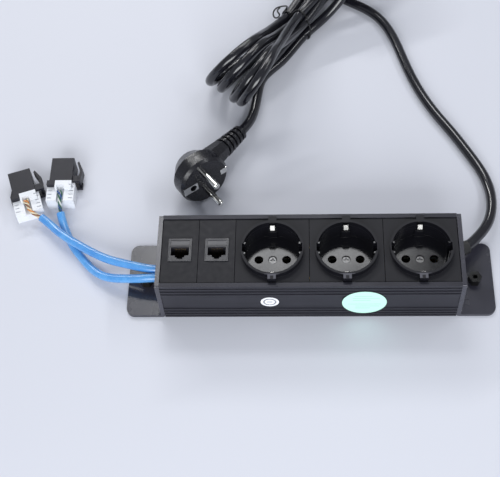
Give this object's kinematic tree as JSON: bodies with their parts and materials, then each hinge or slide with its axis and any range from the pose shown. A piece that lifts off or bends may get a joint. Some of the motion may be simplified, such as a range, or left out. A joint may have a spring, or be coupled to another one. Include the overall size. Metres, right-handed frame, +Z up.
{
  "type": "power strip",
  "caption": "Desk power strip with earthed sockets and data ports in a black extruded housing with end brackets, mains lead with angled plug, and network cables with loose jacks.",
  "frame": {"origin": "centre of the underside of the housing and its brackets, on the surface that the strip stands on", "axes": "+X along the housing towards the end where the mains lead comes out, +Y towards the back, +Z up out of the sockets"},
  "size_m": [0.3585, 0.3524, 0.0515],
  "materials": {
    "housing_black": "black anodised, satin",
    "bracket_black": "black powder coat, semi-gloss",
    "bright_steel": "zinc plated, satin",
    "dark_steel": "black oxide",
    "socket_grey": "moulded, fine grain",
    "base_plastic": "moulded",
    "clip_metal": "nickel plated spring brass",
    "brass": "stamped",
    "gold": "gold plated",
    "wire_insulation": "smooth",
    "data_grey": "moulded, fine grain",
    "jack_grey": "moulded, fine grain",
    "jack_black": "moulded",
    "block_white": "moulded",
    "blue_cable": "smooth jacket",
    "black_rubber": "soft moulded",
    "black_cord": "smooth jacket, satin",
    "tie_wire": "plastic coated wire",
    "plug_black": "moulded, satin",
    "pin_nickel": "nickel plated",
    "green_label": "satin, faint diagonal lines",
    "white_label": "matt"
  },
  "bodies": {
    "strip": {"housing": "housing_black", "end_bracket_left": "bracket_black", "end_bracket_right": "bracket_black", "hex_standoffs": "dark_steel", "end_plate_screws": "dark_steel", "socket_screws": "bright_steel", "live_bar": "brass", "neutral_bar": "brass", "earth_bar": "brass", "terminal_screws": "bright_steel", "inner_leads": "wire_insulation", "jack_contacts": "gold", "lead_sleeve": "black_rubber", "cable_grommet": "black_rubber", "mains_lead": "black_cord", "cord_hank": "black_cord", "plug_lead": "black_cord", "cord_tie": "tie_wire", "plug_body": "plug_black", "plug_relief": "plug_black", "plug_pins": "pin_nickel", "plug_earth_contacts": "pin_nickel", "green_label": "green_label", "white_label": "white_label", "socket_1": "socket_grey", "socket_base_1": "base_plastic", "socket_2": "socket_grey", "socket_base_2": "base_plastic", "socket_3": "socket_grey", "socket_base_3": "base_plastic", "data_plate_1": "data_grey", "data_jack_1": "jack_grey", "data_terminal_1": "block_white", "data_cable_1": "blue_cable", "loose_jack_1": "jack_black", "loose_jack_block_1": "block_white", "data_plate_2": "data_grey", "data_jack_2": "jack_grey", "data_terminal_2": "block_white", "data_cable_2": "blue_cable", "loose_jack_2": "jack_black", "loose_jack_block_2": "block_white"},
    "earth_clip_front_1": {"earth_clip_front_1": "clip_metal"},
    "earth_clip_back_1": {"earth_clip_back_1": "clip_metal"},
    "earth_clip_front_2": {"earth_clip_front_2": "clip_metal"},
    "earth_clip_back_2": {"earth_clip_back_2": "clip_metal"},
    "earth_clip_front_3": {"earth_clip_front_3": "clip_metal"},
    "earth_clip_back_3": {"earth_clip_back_3": "clip_metal"},
    "loose_jack_latch_1": {"loose_jack_latch_1": "jack_black"},
    "loose_jack_latch_2": {"loose_jack_latch_2": "jack_black"}
  },
  "joints": [
    {"name": "front_clip_1", "type": "hinge", "parent": "strip", "child": "earth_clip_front_1", "pos_m": [-0.025, -0.0193, 0.0262], "axis": [1, 0, 0], "range_deg": [0, 5], "stiffness_Nm_per_rad": 0.5},
    {"name": "back_clip_1", "type": "hinge", "parent": "strip", "child": "earth_clip_back_1", "pos_m": [-0.025, 0.0193, 0.0262], "axis": [-1, 0, 0], "range_deg": [0, 5], "stiffness_Nm_per_rad": 0.5},
    {"name": "front_clip_2", "type": "hinge", "parent": "strip", "child": "earth_clip_front_2", "pos_m": [0.025, -0.0193, 0.0262], "axis": [1, 0, 0], "range_deg": [0, 5], "stiffness_Nm_per_rad": 0.5},
    {"name": "back_clip_2", "type": "hinge", "parent": "strip", "child": "earth_clip_back_2", "pos_m": [0.025, 0.0193, 0.0262], "axis": [-1, 0, 0], "range_deg": [0, 5], "stiffness_Nm_per_rad": 0.5},
    {"name": "front_clip_3", "type": "hinge", "parent": "strip", "child": "earth_clip_front_3", "pos_m": [0.075, -0.0193, 0.0262], "axis": [1, 0, 0], "range_deg": [0, 5], "stiffness_Nm_per_rad": 0.5},
    {"name": "back_clip_3", "type": "hinge", "parent": "strip", "child": "earth_clip_back_3", "pos_m": [0.075, 0.0193, 0.0262], "axis": [-1, 0, 0], "range_deg": [0, 5], "stiffness_Nm_per_rad": 0.5},
    {"name": "latch_1", "type": "hinge", "parent": "strip", "child": "loose_jack_latch_1", "pos_m": [-0.19761, 0.07415, 0.0073], "axis": [0, 0, 1], "range_deg": [0, 5], "stiffness_Nm_per_rad": 0.1},
    {"name": "latch_2", "type": "hinge", "parent": "strip", "child": "loose_jack_latch_2", "pos_m": [-0.1701, 0.0805, 0.0073], "axis": [0, 0, 1], "range_deg": [0, 5], "stiffness_Nm_per_rad": 0.1}
  ]
}
